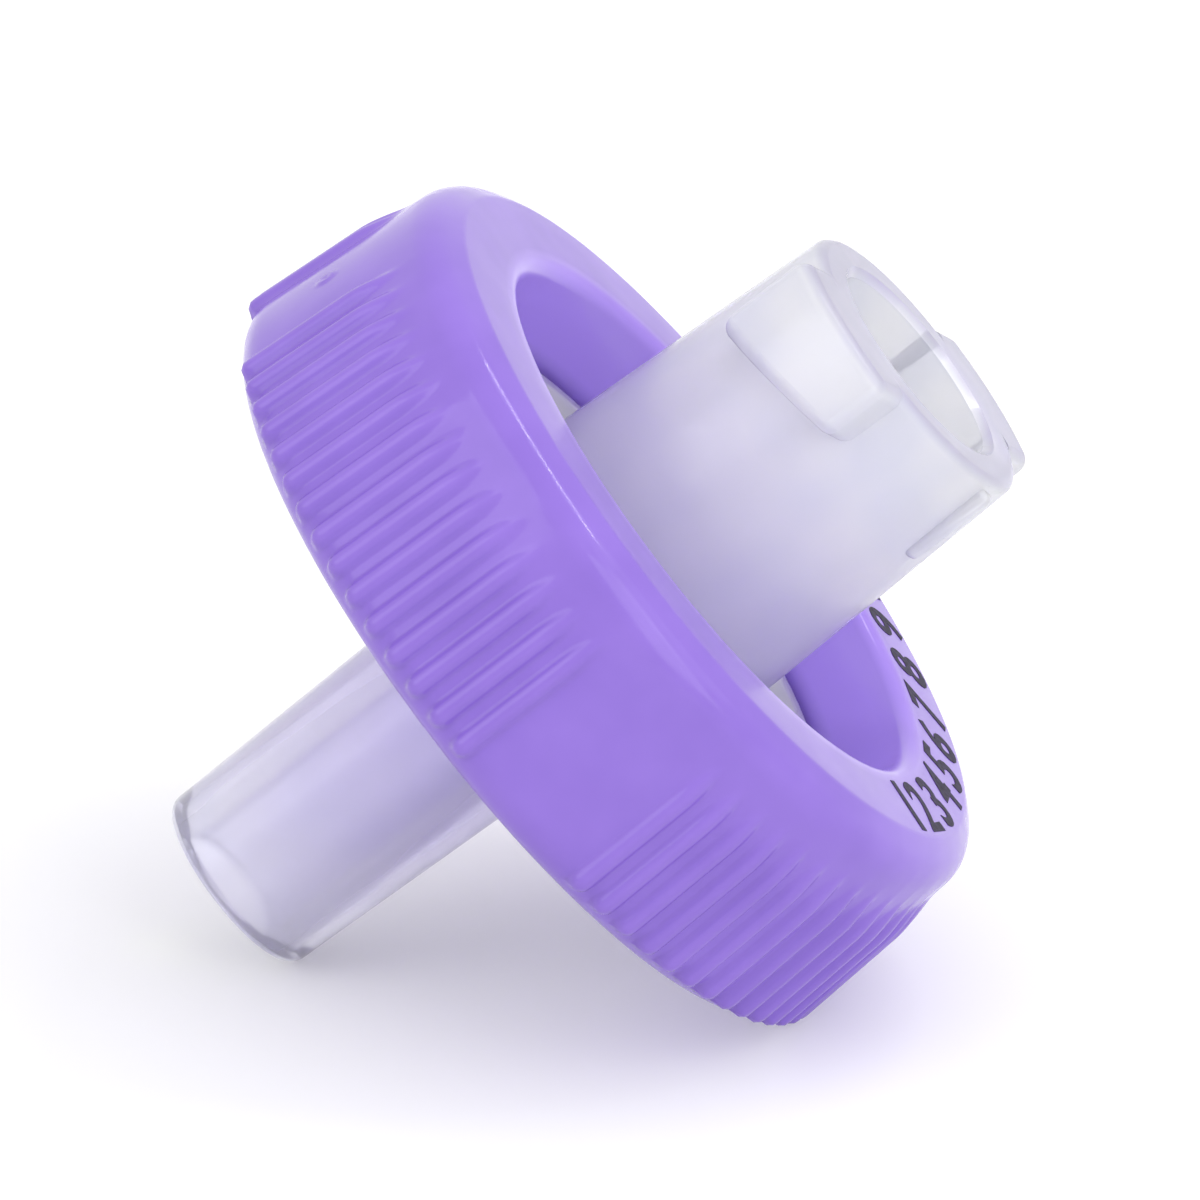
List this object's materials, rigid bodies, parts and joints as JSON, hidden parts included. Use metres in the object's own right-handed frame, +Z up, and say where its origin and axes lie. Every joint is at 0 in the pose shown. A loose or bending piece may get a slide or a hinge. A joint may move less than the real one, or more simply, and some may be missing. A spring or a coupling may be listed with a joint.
{
  "type": "syringe filter",
  "caption": "Round syringe filter: clear female Luer lock inlet hub, clear male Luer slip outlet nozzle, white membrane inside, and a purple moulded-on ring with groups of grip ribs.",
  "frame": {"origin": "centre of the footprint box, on the bench that the filter lies on", "axes": "+Z up from the bench; +Y across the ring; the flow axis lies in the X-Z plane, and points from the outlet at low X up to the inlet at high X"},
  "size_m": [0.0164, 0.0174, 0.0156],
  "materials": {
    "clear_polypropylene": "translucent, lightly glossy",
    "purple_polypropylene": "satin, slightly translucent",
    "membrane": "matte"
  },
  "bodies": {
    "root": {"inlet_body": "clear_polypropylene", "outlet_body": "clear_polypropylene", "membrane": "membrane", "overmould_ring": "purple_polypropylene"}
  },
  "joints": []
}
